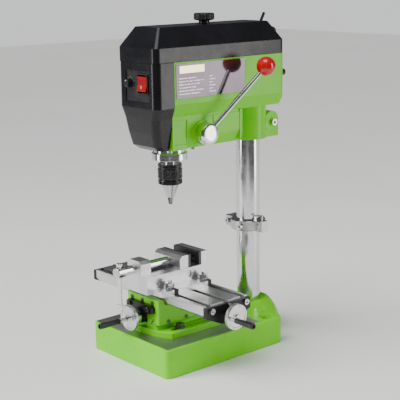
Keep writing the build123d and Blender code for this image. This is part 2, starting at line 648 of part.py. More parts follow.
def lever_hub():
    length = HUB_X[1] - HUB_X[0]
    hub = turned([
        (6, 0), (14.5, 0), (HUB_R, 2.5), (HUB_R, length - 5), (16, length - 1.8), (13.5, length - 0.4),
        (10, length), (0, length), (0, length - 2), (6, length - 2),
    ])
    return about_x(hub, HUB_X[0], PINION_Y, PINION_Z) - lever_line(3.5, 8, 24)


def lever_frame():
    start = Vector(sum(HUB_X) / 2 - 1, PINION_Y, PINION_Z)
    reach = Vector(*BALL_CENTRE) - start
    return start, reach.normalized(), reach.length


def lever_line(radius, low, high):
    """A straight rod along the lever, between two distances from the hub's axis."""
    start, direction, _ = lever_frame()
    return Plane(start + direction * ((low + high) / 2), z_dir=direction) * Cylinder(radius, high - low)


def lever_rod():
    _, _, length = lever_frame()
    return lever_line(3.5, 8, length - 5)


def lever_ball():
    ball = Pos(*BALL_CENTRE) * Sphere(BALL_R)
    return ball - lever_rod()


def return_spring():
    """The flat coil that lifts the quill, drawn as a plain ring in its cap."""
    return rod_x(12.6, (-46.5, -42), PINION_Y, PINION_Z) - rod_x(8.4, (-60, -30), PINION_Y, PINION_Z)


def spring_cap():
    cap = rod_x(17.5, (-54, -47), PINION_Y, PINION_Z)
    cap = fillet(cap.edges().filter_by(GeomType.CIRCLE).sort_by(Axis.X)[0], 2.5)
    return cap - block((-60, -52.8), (PINION_Y - 12, PINION_Y + 12), (PINION_Z - 1.2, PINION_Z + 1.2))


# Cross table

def table_base():
    """The foot with its bowed front edge, the raised block and the dovetail way along Y."""
    edge = ThreePointArc(
        (-FOOT_HALF_W, FOOT_FRONT_Y), (0, FOOT_FRONT_Y - FOOT_BULGE), (FOOT_HALF_W, FOOT_FRONT_Y),
    )
    rest = Polyline(
        (FOOT_HALF_W, FOOT_FRONT_Y), (FOOT_HALF_W, FOOT_REAR_Y), (-FOOT_HALF_W, FOOT_REAR_Y), (
            -FOOT_HALF_W, FOOT_FRONT_Y,
        )
    )
    foot = extrude(Pos(0, 0, BASE_H) * make_face(edge + rest), amount=FOOT_Z - BASE_H)
    foot = fillet(foot.edges().filter_by(Axis.Z), 4)
    foot = fillet(foot.faces().sort_by(Axis.Z)[-1].edges(), 1.2)
    rise = prism_y(
        [
            (-36, FOOT_Z - 1), (36, FOOT_Z - 1), (36, FOOT_Z + 1), (31, WAY_LOW_Z), (-31, WAY_LOW_Z),
            (-36, FOOT_Z + 1),
        ],
        (BRACKET_Y[1] + 0.5, FOOT_REAR_Y),
    )
    way_outline = [
        (-20, WAY_LOW_Z - 1), (20, WAY_LOW_Z - 1), (20, WAY_LOW_Z), (25.5, WAY_TOP_Z), (-25.5, WAY_TOP_Z),
        (-20, WAY_LOW_Z),
    ]
    body = foot + rise + prism_y(way_outline, (BRACKET_Y[1], FOOT_REAR_Y))
    body -= block((-WAY_GROOVE, WAY_GROOVE), (-260, -90), (63.4, 80))
    for side in (-1, 1):
        slot = block((side * FOOT_SLOT_X - 4.5, side * FOOT_SLOT_X + 4.5), (-214, -108), (30, 60))
        body -= fillet(slot.edges().filter_by(Axis.Z), 4.4)
    return body


def y_bracket():
    """The black plate on the front of the saddle. Its lobe carries the Y screw."""
    outline = [
        (-32, 84), (-32, 92), (-28, 96), (28, 96), (32, 92), (32, 84), (15, 81), (11, 77), (11, 68), (7, 64),
        (-7, 64), (-11, 68), (-11, 77), (-15, 81),
    ]
    plate = prism_y(outline, BRACKET_Y)
    plate += rod_y(10.5, 0, (BRACKET_Y[0] - 3, BRACKET_Y[0] + 1), Y_SCREW_Z)
    plate -= rod_y(LEADSCREW_R + FIT, 0, (-260, -220), Y_SCREW_Z)
    for side in (-1, 1):
        plate -= rod_y(2.4, side * 23, (-260, -220), 90)
    return plate


def saddle():
    """The slide between the two ways, with a lip at the front and rear of the table's dovetail."""
    low = WAY_LOW_Z + 0.5
    body = block((-SADDLE_HALF_W, SADDLE_HALF_W), (SADDLE_FRONT_Y, SADDLE_REAR_Y), (low, LIP_Z))
    body = fillet(body.edges().filter_by(Axis.Z), 3)
    front_in = TABLE_FRONT_Y - 3.0
    rear_in = TABLE_REAR_Y + GAP
    trough = [
        (front_in, LIP_Z + 1), (front_in, 101), (front_in + 3.4, SADDLE_Z), (rear_in - 3.4, SADDLE_Z),
        (rear_in, 101), (rear_in, LIP_Z + 1),
    ]
    body -= prism_x(trough, (-60, 60))
    way = [(-20.4, low - 1), (23, low - 1), (28.9, WAY_TOP_Z + GAP), (-25.9, WAY_TOP_Z + GAP)]
    body -= prism_y(way, (-300, -100))
    body -= block((-WAY_GROOVE, WAY_GROOVE), (-300, -100), (WAY_TOP_Z - 1, 83.4))
    body -= block((-60, 60), (TABLE_Y - 8, TABLE_Y + 8), (88.5, SADDLE_Z + 1))
    for x in GIB_SCREW_X:
        body -= rod_y(1.75, x, (-250, -215), 99)
    for y in GIB_SCREW_Y:
        body -= rod_x(1.75, (25, 60), y, 68)
    for side in (-1, 1):
        body -= rod_y(2.4, side * 23, (-240, -222), 90)
    return body


def saddle_gibs():
    """The two thin strips that take up the play in the dovetails."""
    front = TABLE_FRONT_Y - GAP
    x_gib = [
        (front - 2.2, 104), (front - 2.2, 101.2), (front + 0.9, 96.4), (front + 2.6, 96.4), (front, 101),
        (front, 104),
    ]
    y_gib = [(20.95, 64.8), (23.2, 64.8), (28.5, WAY_TOP_Z), (25.9, WAY_TOP_Z)]
    return [prism_x(x_gib, (-38, 38)), prism_y(y_gib, (-229, -121))]


def saddle_screws():
    """Gib screws with their lock nuts, and the two cap screws of the front bracket."""
    parts = []
    for x in GIB_SCREW_X:
        parts.append(
            Pos(x, SADDLE_FRONT_Y, 99) * Rot(90, 0, 0) * (rod_z(1.75, 0, 0, (-8.5, 2)) + hex_nut(1.7, 6, 1.6))
        )
    for y in GIB_SCREW_Y:
        parts.append(
            Pos(SADDLE_HALF_W, y, 68) * Rot(0, 90, 0) * (rod_z(1.75, 0, 0, (-12.8, 2)) + hex_nut(1.7, 6, 1.6))
        )
    for side in (-1, 1):
        parts.append(Pos(side * 23, BRACKET_Y[0], 90) * Rot(90, 0, 0) * cap_screw(2.4, 15, 4.0, 3.2))
    return parts


def y_nut():
    """The block on the base that the Y screw turns in. It stands in the way's groove."""
    nut = block((-WAY_GROOVE + 0.5, WAY_GROOVE - 0.5), (-196, -178), (63.4, 83))
    return nut - rod_y(LEADSCREW_R + FIT, 0, (-200, -170), Y_SCREW_Z)


def x_nut():
    nut = block((-9, 9), (TABLE_Y - 7.8, TABLE_Y + 7.8), (88.5, 101.4))
    return nut - rod_x(LEADSCREW_R + FIT, (-30, 30), TABLE_Y, X_SCREW_Z)


def y_leadscrew():
    return rod_y(LEADSCREW_R, 0, (-264, -112), Y_SCREW_Z)


def x_leadscrew():
    return rod_x(
        LEADSCREW_R, (TABLE_LEFT_X - END_PLATE - 4, TABLE_RIGHT_X + END_PLATE + 21), TABLE_Y, X_SCREW_Z,
    )


def dial(width):
    """A graduated collar, knurled at its rear edge, built along +Z."""
    ring = turned([
        (LEADSCREW_R, 0), (12.4, 0), (13, 0.8), (13, width - 1), (12.2, width), (LEADSCREW_R, width),
    ])
    marks = [
        Rot(0, 0, turn) * block((12.6, 14), (-0.2, 0.2), (width * 0.55, width + 1)) for turn in range(0, 360, 9)
    ]
    return ring - marks


def handwheel(width):
    """A solid disc wheel with a raised rim and hub and the crank's pin, built along +Z. The pin is on +X."""
    rim = HANDWHEEL_R
    wheel = turned([
        (LEADSCREW_R, 0), (rim - 1.4, 0), (rim, 1.4), (rim, width - 1.2), (rim - 1.2, width),
        (rim - 3.5, width),
        (rim - 4.5, width - 0.9), (8.0, width - 0.9), (7.4, width), (LEADSCREW_R, width),
    ])
    wheel += rod_z(3.6, CRANK_R, 0, (width - 2, width + 9))
    return wheel + rod_z(2.5, CRANK_R, 0, (1, width + 44))


def crank_grip(width):
    """The free-turning black grip on the crank's pin."""
    start = width + 9.4
    grip = turned([
        (2.5 + FIT, 0), (4.0, 0), (4.6, 1.2), (4.3, 8), (4.9, 28), (4.9, 37), (4.2, 38.5),
        (2.5 + FIT, 38.5),
    ])
    return Pos(CRANK_R, 0, start) * grip


def on_x_screw(solid, at):
    return about_x(Rot(0, 0, X_CRANK_TURN) * solid, at, TABLE_Y, X_SCREW_Z)


def on_y_screw(solid, at):
    return about_minus_y(Rot(0, 0, Y_CRANK_TURN) * solid, 0, at, Y_SCREW_Z)


def cross_table():
    body = block((TABLE_LEFT_X, TABLE_RIGHT_X), (TABLE_FRONT_Y, TABLE_REAR_Y), (TABLE_BOTTOM_Z, TABLE_TOP_Z))
    for y, inward in ((TABLE_FRONT_Y, 1), (TABLE_REAR_Y, -1)):
        cut = [
            (y - inward, 101), (y, 101), (y + inward * 3.4, TABLE_BOTTOM_Z), (y + inward * 3.4, 90),
            (y - inward, 90),
        ]
        body -= prism_x(cut, (TABLE_LEFT_X - 1, TABLE_RIGHT_X + 1))
    for k in (-1, 0, 1):
        y = TABLE_Y + k * T_SLOT_PITCH
        body -= block((-200, 200), (y - T_SLOT_NECK / 2, y + T_SLOT_NECK / 2), (104, 120))
        body -= block((-200, 200), (y - T_SLOT_WIDE / 2, y + T_SLOT_WIDE / 2), (104, 109))
    body -= block((-200, 200), (TABLE_Y - 8.3, TABLE_Y + 8.3), (90, 101.8))
    return body


def table_end_plates():
    outline = [
        (TABLE_FRONT_Y, 97), (TABLE_FRONT_Y, 113.5), (TABLE_REAR_Y, 113.5), (TABLE_REAR_Y, 97),
        (TABLE_Y + 14, 83), (TABLE_Y - 14, 83),
    ]
    plates = []
    for x in ((TABLE_LEFT_X - END_PLATE, TABLE_LEFT_X), (TABLE_RIGHT_X, TABLE_RIGHT_X + END_PLATE)):
        plate = prism_x(outline, x)
        plate = fillet(plate.edges().filter_by(Axis.X).group_by(Axis.Z)[0], 6)
        plate -= rod_x(LEADSCREW_R + FIT, (x[0] - 1, x[1] + 1), TABLE_Y, X_SCREW_Z)
        for offset, z, radius in END_SCREWS:
            plate -= rod_x(radius * 0.65, (x[0] - 1, x[1] + 1), TABLE_Y + offset, z)
        plates.append(plate)
    return plates


def table_end_screws():
    """Bright screws that hold each end plate. The middle one is small, to clear the dial."""
    parts = []
    for offset, z, radius in END_SCREWS:
        y = TABLE_Y + offset
        screw = cap_screw(radius * 0.65, 14, radius, 3.6)
        parts.append(Pos(TABLE_RIGHT_X + END_PLATE, y, z) * Rot(0, 90, 0) * screw)
        parts.append(Pos(TABLE_LEFT_X - END_PLATE, y, z) * Rot(0, -90, 0) * screw)
    return parts


# Vise

def vise_body():
    """Flanged bed, fixed jaw and the front wall that is the screw's nut."""
    bottom = TABLE_TOP_Z
    x = (VISE_X - VISE_HALF_W, VISE_X + VISE_HALF_W)
    bed = block(x, (VISE_FRONT_Y, VISE_REAR_Y), (bottom, VISE_BED_Z))
    flange = block(
        (VISE_X - VISE_FLANGE_HALF_W, VISE_X + VISE_FLANGE_HALF_W), (-236, -132), (bottom, FLANGE_TOP_Z),
    )
    flange = fillet(flange.edges().filter_by(Axis.Z), 7)
    body = bed + flange
    fixed_jaw = block(x, (JAW_FACE_Y + JAW_PLATE, VISE_REAR_Y), (VISE_BED_Z, JAW_TOP_Z))
    front_wall = block(
        (VISE_X - 17, VISE_X + 17), (VISE_FRONT_Y, VISE_FRONT_Y + 20), (VISE_BED_Z, JAW_TOP_Z + 1),
    )
    front_wall = chamfer(front_wall.edges().filter_by(Axis.Y).group_by(Axis.Z)[-1], 5)
    body = body + fixed_jaw + front_wall
    body -= block((VISE_X - 9, VISE_X + 9), (VISE_FRONT_Y + 24, JAW_FACE_Y - 4), (127, 150))
    body -= rod_y(VISE_SCREW_R + FIT, VISE_X, (VISE_FRONT_Y - 1, VISE_FRONT_Y + 30), VISE_SCREW_Z)
    for side in (-1, 1):
        for y in VISE_BOLT_Y:
            body -= block(
                sorted((VISE_X + side * 38, VISE_X + side * 70)), (y - 4.4, y + 4.4),
                (bottom - 1, bottom + 10),
            )
        for y in (-222, -160):
            body -= rod_x(
                6, sorted((VISE_X + side * (VISE_HALF_W - 2), VISE_X + side * (VISE_HALF_W + 3))), y, 133,
            )
    return body


def jaw_plate(y, counterbore):
    """A hardened plate between two planes of Y, with countersunk holes for its two screws."""
    plate = block(
        (VISE_X - VISE_HALF_W, VISE_X + VISE_HALF_W), (y, y + JAW_PLATE), (VISE_BED_Z + 0.5, JAW_TOP_Z),
    )
    for x_hole in (-18, 18):
        plate -= rod_y(4.2, VISE_X + x_hole, counterbore, (VISE_BED_Z + JAW_TOP_Z) / 2)
    return plate


def vise_fixed_plate():
    return jaw_plate(JAW_FACE_Y, (JAW_FACE_Y - 1, JAW_FACE_Y + 2))


def vise_moving_jaw():
    """The sliding jaw with its tongue between the bed's rails."""
    x = (VISE_X - VISE_HALF_W, VISE_X + VISE_HALF_W)
    jaw = block(x, (MOVING_FRONT_Y, MOVING_FACE_Y - JAW_PLATE), (VISE_BED_Z + 0.35, JAW_TOP_Z))
    jaw = chamfer(jaw.edges().filter_by(Axis.X).group_by(Axis.Y)[0].group_by(Axis.Z)[-1], 5)
    tongue = block(
        (VISE_X - 8.6, VISE_X + 8.6), (MOVING_FRONT_Y, MOVING_FACE_Y - JAW_PLATE), (128, VISE_BED_Z + 1),
    )
    jaw += tongue
    return jaw - rod_y(5.5 + FIT, VISE_X, (MOVING_FRONT_Y - 1, MOVING_FRONT_Y + 12), VISE_SCREW_Z)


def vise_moving_plate():
    return jaw_plate(MOVING_FACE_Y - JAW_PLATE, (MOVING_FACE_Y - 2, MOVING_FACE_Y + 1))


def vise_screw():
    """The vise screw, with the collar and the drilled head that takes the T-bar."""
    screw = rod_y(VISE_SCREW_R, VISE_X, (VISE_HEAD_Y + 8, MOVING_FRONT_Y - 0.4), VISE_SCREW_Z)
    nose = rod_y(5.5, VISE_X, (MOVING_FRONT_Y - 0.5, MOVING_FRONT_Y + 11), VISE_SCREW_Z)
    head = rod_y(8.6, VISE_X, (VISE_HEAD_Y - 7, VISE_HEAD_Y + 9), VISE_SCREW_Z)
    head = fillet(head.edges().filter_by(GeomType.CIRCLE).sort_by(Axis.Y)[0], 1.5)
    return screw + nose + head - rod_z(3 + FIT, VISE_X, VISE_HEAD_Y, (VISE_SCREW_Z - 20, VISE_SCREW_Z + 20))


def vise_tbar():
    """The sliding T-bar, hanging by its upper knob from the screw's head."""
    top = VISE_SCREW_Z + 8.8
    bar = rod_z(3, VISE_X, VISE_HEAD_Y, (T_BAR_LOW_Z, top + 3))
    knobs = []
    for low in (T_BAR_LOW_Z - 3, top):
        knob = rod_z(4.6, VISE_X, VISE_HEAD_Y, (low, low + 6))
        knobs.append(fillet(knob.edges().filter_by(GeomType.CIRCLE), 1.2))
    return bar + knobs


def vise_clamps():
    """T-bolts in the table's slots, with washers and nuts on the vise's flanges."""
    parts = []
    for side in (-1, 1):
        for y in VISE_BOLT_Y:
            x = VISE_X + side * VISE_BOLT_X
            z = FLANGE_TOP_Z
            bolt = block(
                (x - 5.5, x + 5.5), (y - 5.5, y + 5.5), (104.3, 108.5),
            ) + rod_z(3.5, x, y, (108, z + 12))
            washer = rod_z(7.5, x, y, (z, z + 1.6)) - rod_z(3.5, x, y, (z - 1, z + 3))
            nut = Pos(x, y, z + 1.6) * hex_nut(3.5, 12, 6)
            parts += [bolt, washer, nut]
    return parts


def as_compound(shape):
    """Several solids of one node, kept as separate solids of one compound."""
    if isinstance(shape, (list, tuple)):
        return Compound(children=[solid for part in shape for solid in part.solids()])
    return shape


NODES = {
    "base_casting": base_casting(),
    "column": column(),
    "base_bolts": base_bolts(),
    "stop_collar": stop_collar(),
    "collar_screws": collar_screws(),
    "head_casting": head_casting(),
    "front_cover": front_cover(),
    "switch_bezel": switch_bezel(),
    "rocker_switch": rocker_switch(),
    "speed_knob": speed_knob(),
    "top_cover": top_cover(),
    "cover_knob": cover_knob(),
    "tension_lock_knob": tension_lock_knob(),
    "head_screws": head_screws(),
    "rating_label": rating_label(),
    "cord_gland": cord_gland(),
    "tension_lever": tension_lever(),
    "motor": motor(),
    "motor_pulley": motor_pulley(),
    "spindle_pulley": spindle_pulley(),
    "drive_belt": drive_belt(),
    "quill": quill(),
    "quill_bearings": quill_bearings(),
    "spindle": spindle(),
    "chuck_body": chuck_body(),
    "chuck_sleeve": chuck_sleeve(),
    "chuck_jaw_1": chuck_jaw(90),
    "chuck_jaw_2": chuck_jaw(210),
    "chuck_jaw_3": chuck_jaw(330),
    "pinion_shaft": pinion_shaft(),
    "lever_hub": lever_hub(),
    "lever_rod": lever_rod(),
    "lever_ball": lever_ball(),
    "return_spring": return_spring(),
    "spring_cap": spring_cap(),
    "table_base": table_base(),
    "y_nut": y_nut(),
    "saddle": saddle(),
    "saddle_gibs": saddle_gibs(),
    "saddle_screws": saddle_screws(),
    "x_nut": x_nut(),
    "y_bracket": y_bracket(),
    "y_leadscrew": y_leadscrew(),
    "y_dial": on_y_screw(dial(Y_DIAL[1]), Y_DIAL[0]),
    "y_handwheel": on_y_screw(handwheel(Y_WHEEL[1]), Y_WHEEL[0]),
    "y_crank_grip": on_y_screw(crank_grip(Y_WHEEL[1]), Y_WHEEL[0]),
    "cross_table": cross_table(),
    "table_end_plates": table_end_plates(),
    "table_end_screws": table_end_screws(),
    "x_leadscrew": x_leadscrew(),
    "x_dial": on_x_screw(dial(X_DIAL[1]), X_DIAL[0]),
    "x_handwheel": on_x_screw(handwheel(X_WHEEL[1]), X_WHEEL[0]),
    "x_crank_grip": on_x_screw(crank_grip(X_WHEEL[1]), X_WHEEL[0]),
    "vise_body": vise_body(),
    "vise_fixed_plate": vise_fixed_plate(),
    "vise_moving_jaw": vise_moving_jaw(),
    "vise_moving_plate": vise_moving_plate(),
    "vise_screw": vise_screw(),
    "vise_tbar": vise_tbar(),
    "vise_clamps": vise_clamps(),
}

os.makedirs("parts", exist_ok=True)
for name, shape in NODES.items():
    export_step(as_compound(shape), f"parts/{name}.step")
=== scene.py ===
import json
from math import cos, pi, radians, sin

import bmesh
import bpy
from mathutils import Matrix, Vector


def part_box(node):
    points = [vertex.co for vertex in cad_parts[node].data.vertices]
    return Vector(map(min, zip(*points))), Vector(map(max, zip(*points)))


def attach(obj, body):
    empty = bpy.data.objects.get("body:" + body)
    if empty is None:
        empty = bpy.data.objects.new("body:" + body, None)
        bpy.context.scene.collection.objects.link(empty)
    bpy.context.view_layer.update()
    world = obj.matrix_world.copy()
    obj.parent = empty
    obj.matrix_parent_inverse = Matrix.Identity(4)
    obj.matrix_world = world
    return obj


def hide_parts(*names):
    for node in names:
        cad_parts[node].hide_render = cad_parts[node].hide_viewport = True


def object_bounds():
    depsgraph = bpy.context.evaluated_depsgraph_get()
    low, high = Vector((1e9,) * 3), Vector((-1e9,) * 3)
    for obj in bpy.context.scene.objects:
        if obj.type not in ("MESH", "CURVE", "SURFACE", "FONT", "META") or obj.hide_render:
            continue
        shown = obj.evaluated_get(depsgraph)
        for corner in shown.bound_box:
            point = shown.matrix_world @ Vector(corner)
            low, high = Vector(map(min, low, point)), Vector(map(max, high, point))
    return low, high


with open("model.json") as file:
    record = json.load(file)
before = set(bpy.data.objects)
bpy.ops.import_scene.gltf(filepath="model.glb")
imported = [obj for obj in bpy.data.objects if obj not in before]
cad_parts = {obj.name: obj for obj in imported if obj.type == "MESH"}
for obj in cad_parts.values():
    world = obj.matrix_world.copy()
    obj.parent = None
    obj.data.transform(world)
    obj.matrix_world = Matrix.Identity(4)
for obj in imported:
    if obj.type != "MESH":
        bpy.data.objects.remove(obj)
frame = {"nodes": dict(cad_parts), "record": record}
CAD_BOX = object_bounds()


# Camera, lights and floor

CAMERA_AT = Vector((1.27117, -1.20841, 0.61948))
CAMERA_AZ = radians(49.12)
CAMERA_EL = radians(12.67)
CAMERA_ROLL = radians(-0.82)
LENS_MM = 94.9
SENSOR_MM = 36.0


def make_camera():
    """A camera at a three-quarter view, a little above the machine."""
    right = Vector((cos(CAMERA_AZ), sin(CAMERA_AZ), 0))
    back = Vector((sin(CAMERA_AZ) * cos(CAMERA_EL), -cos(CAMERA_AZ) * cos(CAMERA_EL), sin(CAMERA_EL)))
    up = back.cross(right)
    x_axis = cos(CAMERA_ROLL) * right + sin(CAMERA_ROLL) * up
    y_axis = cos(CAMERA_ROLL) * up - sin(CAMERA_ROLL) * right
    data = bpy.data.cameras.new("camera")
    data.lens = LENS_MM
    data.sensor_width = SENSOR_MM
    data.clip_start = 0.05
    camera = bpy.data.objects.new("camera", data)
    bpy.context.scene.collection.objects.link(camera)
    turn = Matrix((x_axis, y_axis, back)).transposed().to_4x4()
    camera.matrix_world = Matrix.Translation(CAMERA_AT) @ turn
    bpy.context.scene.camera = camera


def area_light(name, at, target, size, power, colour=(1, 1, 1)):
    data = bpy.data.lights.new(name, "AREA")
    data.shape = "RECTANGLE"
    data.size, data.size_y = size
    data.energy = power
    data.color = colour
    lamp = bpy.data.objects.new(name, data)
    lamp.location = at
    lamp.rotation_euler = (Vector(target) - Vector(at)).to_track_quat("-Z", "Y").to_euler()
    bpy.context.scene.collection.objects.link(lamp)


def make_stage():
    """Tall soft boxes left and right with dark between them, an even sun, and a pale floor."""
    world = bpy.data.worlds.new("studio")
    world.use_nodes = True
    tree = world.node_tree
    shade = tree.nodes["Background"]
    shade.inputs["Color"].default_value = (0.93, 0.94, 0.96, 1)
    seen = tree.nodes.new("ShaderNodeMapRange")
    seen.inputs["To Min"].default_value = 0.12
    seen.inputs["To Max"].default_value = 0.92
    tree.links.new(tree.nodes.new("ShaderNodeLightPath").outputs["Is Camera Ray"], seen.inputs["Value"])
    tree.links.new(seen.outputs["Result"], shade.inputs["Strength"])
    bpy.context.scene.world = world
    middle = (0, -0.12, 0.26)
    area_light("left_box", (-0.9, -1.9, 0.75), middle, (0.55, 1.7), 22)
    area_light("right_box", (1.55, 1.05, 0.60), middle, (0.75, 1.5), 18, (1.0, 0.98, 0.95))
    area_light("top_box", (0.3, -0.5, 1.9), middle, (1.0, 1.0), 12)
    data = bpy.data.lights.new("even_sun", "SUN")
    data.energy = 3.1
    data.angle = radians(50)
    sun = bpy.data.objects.new("even_sun", data)
    sun.rotation_euler = (radians(34), radians(-14), 0)
    sun.visible_glossy = False
    bpy.context.scene.collection.objects.link(sun)

    mesh = bpy.data.meshes.new("floor")
    far, near = 6.0, 1.15
    floor_z = CAD_BOX[0][2] - 0.0004
    corners = [(-far, -near, floor_z), (near, -near, floor_z), (near, far, floor_z), (-far, far, floor_z)]
    mesh.from_pydata(corners, [], [(0, 1, 2, 3)])
    floor = bpy.data.objects.new("floor", mesh)
    bpy.context.scene.collection.objects.link(floor)
    floor.data.materials.append(floor_finish())


# Node helpers. Every pattern reads object coordinates, so it stays on its piece as the piece moves

class Finish:
    """A material being built. It holds the node tree and makes the nodes that the finishes need."""

    def __init__(self, name, metallic=0.0, roughness=0.5, **fixed):
        self.material = bpy.data.materials.new(name)
        self.material.use_nodes = True
        self.tree = self.material.node_tree
        self.shader = self.tree.nodes["Principled BSDF"]
        self.coords = self.tree.nodes.new("ShaderNodeTexCoord").outputs["Object"]
        self.shader.inputs["Metallic"].default_value = metallic
        self.shader.inputs["Roughness"].default_value = roughness
        for key, value in fixed.items():
            self.shader.inputs[key.replace("_", " ")].default_value = value

    def node(self, kind, **settings):
        made = self.tree.nodes.new(kind)
        for key, value in settings.items():
            setattr(made, key, value)
        return made

    def link(self, out, into):
        self.tree.links.new(out, into)

    def stretched(self, scale):
        mapping = self.node("ShaderNodeMapping")
        mapping.inputs["Scale"].default_value = scale
        self.link(self.coords, mapping.inputs["Vector"])
        return mapping.outputs["Vector"]

    def noise(self, scale, detail=3.0, rough=0.55, stretch=None):
        made = self.node("ShaderNodeTexNoise")
        made.inputs["Scale"].default_value = scale
        made.inputs["Detail"].default_value = detail
        made.inputs["Roughness"].default_value = rough
        self.link(self.stretched(stretch) if stretch else self.coords, made.inputs["Vector"])
        return made.outputs["Fac"]

    def spread(self, value, low, high, to_low, to_high):
        made = self.node("ShaderNodeMapRange")
        for key, number in (("From Min", low), ("From Max", high), ("To Min", to_low), ("To Max", to_high)):
            made.inputs[key].default_value = number
        self.link(value, made.inputs["Value"])
        return made.outputs["Result"]

    def maths(self, operation, first, second):
        made = self.node("ShaderNodeMath", operation=operation)
        for value, socket in ((first, made.inputs[0]), (second, made.inputs[1])):
            if isinstance(value, (int, float)):
                socket.default_value = value
            else:
                self.link(value, socket)
        return made.outputs[0]

    def mix(self, amount, first, second):
        made = self.node("ShaderNodeMix", data_type="RGBA")
        if isinstance(amount, (int, float)):
            made.inputs["Factor"].default_value = amount
        else:
            self.link(amount, made.inputs["Factor"])
        for value, socket in ((first, made.inputs[6]), (second, made.inputs[7])):
            if isinstance(value, tuple):
                socket.default_value = (*value, 1)
            else:
                self.link(value, socket)
        return made.outputs[2]

    def edges(self, radius, sharp=0.97, soft=0.80):
        """A mask that is 1 on outside edges and corners, from the rounded normal."""
        bevel = self.node("ShaderNodeBevel", samples=4)
        bevel.inputs["Radius"].default_value = radius
        plain = self.node("ShaderNodeNewGeometry").outputs["Normal"]
        dot = self.node("ShaderNodeVectorMath", operation="DOT_PRODUCT")
        self.link(bevel.outputs["Normal"], dot.inputs[0])
        self.link(plain, dot.inputs[1])
        return self.spread(dot.outputs["Value"], sharp, soft, 0.0, 1.0)

    def rounded_normal(self, radius):
        bevel = self.node("ShaderNodeBevel", samples=4)
        bevel.inputs["Radius"].default_value = radius
        return bevel.outputs["Normal"]

    def bump(self, height, distance, strength=0.5, normal=None):
        made = self.node("ShaderNodeBump")
        made.inputs["Strength"].default_value = strength
        made.inputs["Distance"].default_value = distance
        self.link(height, made.inputs["Height"])
        if normal is not None:
            self.link(normal, made.inputs["Normal"])
        return made.outputs["Normal"]

    def finish(self, colour=None, roughness=None, normal=None):
        for value, key in ((colour, "Base Color"), (roughness, "Roughness"), (normal, "Normal")):
            if value is None:
                continue
            if isinstance(value, tuple):
                self.shader.inputs[key].default_value = (*value, 1)
            else:
                self.link(value, self.shader.inputs[key])
        return self.material


# Finishes

def floor_finish():
    made = Finish("pale_floor", roughness=0.6)
    shade = made.spread(made.noise(1.5, 4), 0.3, 0.7, 0.0, 1.0)
    return made.finish(made.mix(shade, (0.86, 0.85, 0.83), (0.90, 0.89, 0.88)))


GREEN = (0.19, 0.74, 0.0)
GREEN_DEEP = (0.16, 0.66, 0.0)
GREEN_CHIP = (0.36, 0.74, 0.10)


def paint_colour(made, base, deep, chip):
    """Enamel with slow shade changes, fine dust and thin wear along the edges."""
    slow = made.spread(made.noise(9, 4), 0.35, 0.65, 0.0, 1.0)
    colour = made.mix(slow, deep, base)
    speck = made.spread(made.noise(1500, 2), 0.66, 0.74, 0.0, 0.25)
    colour = made.mix(speck, colour, chip)
    worn = made.maths(
        "MULTIPLY", made.edges(0.0007), made.spread(made.noise(160, 5, 0.7), 0.52, 0.66, 0.0, 0.8),
    )
    return made.mix(worn, colour, chip)


def green_paint():
    """Gloss enamel on a sand casting: orange peel over a soft cast texture."""
    made = Finish(
        "green_enamel", roughness=0.3, Specular_IOR_Level=0.25, Coat_Weight=0.15, Coat_Roughness=0.08,
    )
    colour = paint_colour(made, GREEN, GREEN_DEEP, GREEN_CHIP)
    rough = made.spread(made.noise(60, 4), 0.3, 0.7, 0.24, 0.40)
    cast = made.bump(made.noise(230, 5, 0.62), 0.00045, 0.35, made.rounded_normal(0.0009))
    peel = made.bump(made.noise(1100, 2, 0.4), 0.00008, 0.35, cast)
    return made.finish(colour, rough, peel)


def base_paint():
    """The base's enamel, with the flat top ground bare inside a painted border."""
    made = Finish("base_enamel_and_ground_top", roughness=0.35, Specular_IOR_Level=0.25)
    painted = paint_colour(made, GREEN, GREEN_DEEP, GREEN_CHIP)
    mask = ground_mask(made)
    lines = made.noise(1.0, 5, 0.7, stretch=(45, 2600, 40))
    cross = made.noise(1.0, 4, 0.6, stretch=(1700, 60, 40))
    scratch = made.maths("ADD", made.maths("MULTIPLY", lines, 0.65), made.maths("MULTIPLY", cross, 0.35))
    stain = made.spread(made.noise(16, 5, 0.65), 0.35, 0.7, 0.0, 1.0)
    steel = made.mix(stain, (0.24, 0.24, 0.25), (0.40, 0.40, 0.41))
    steel = made.mix(made.spread(scratch, 0.4, 0.62, 0.0, 0.5), steel, (0.60, 0.60, 0.61))
    colour = made.mix(mask, painted, steel)
    rough = made.spread(mask, 0.0, 1.0, 0.29, 0.40)
    rough = made.maths("ADD", rough, made.spread(made.noise(70, 4), 0.3, 0.7, -0.05, 0.06))
    made.link(made.maths("MULTIPLY", mask, 0.92), made.shader.inputs["Metallic"])
    cast_height = made.maths("MULTIPLY", made.noise(210, 5, 0.62), made.spread(mask, 0.0, 1.0, 1.0, 0.0))
    normal = made.bump(cast_height, 0.0005, 0.42, made.rounded_normal(0.0012))
    fine = made.maths("MULTIPLY", scratch, mask)
    return made.finish(colour, rough, made.bump(fine, 0.00006, 0.6, normal))


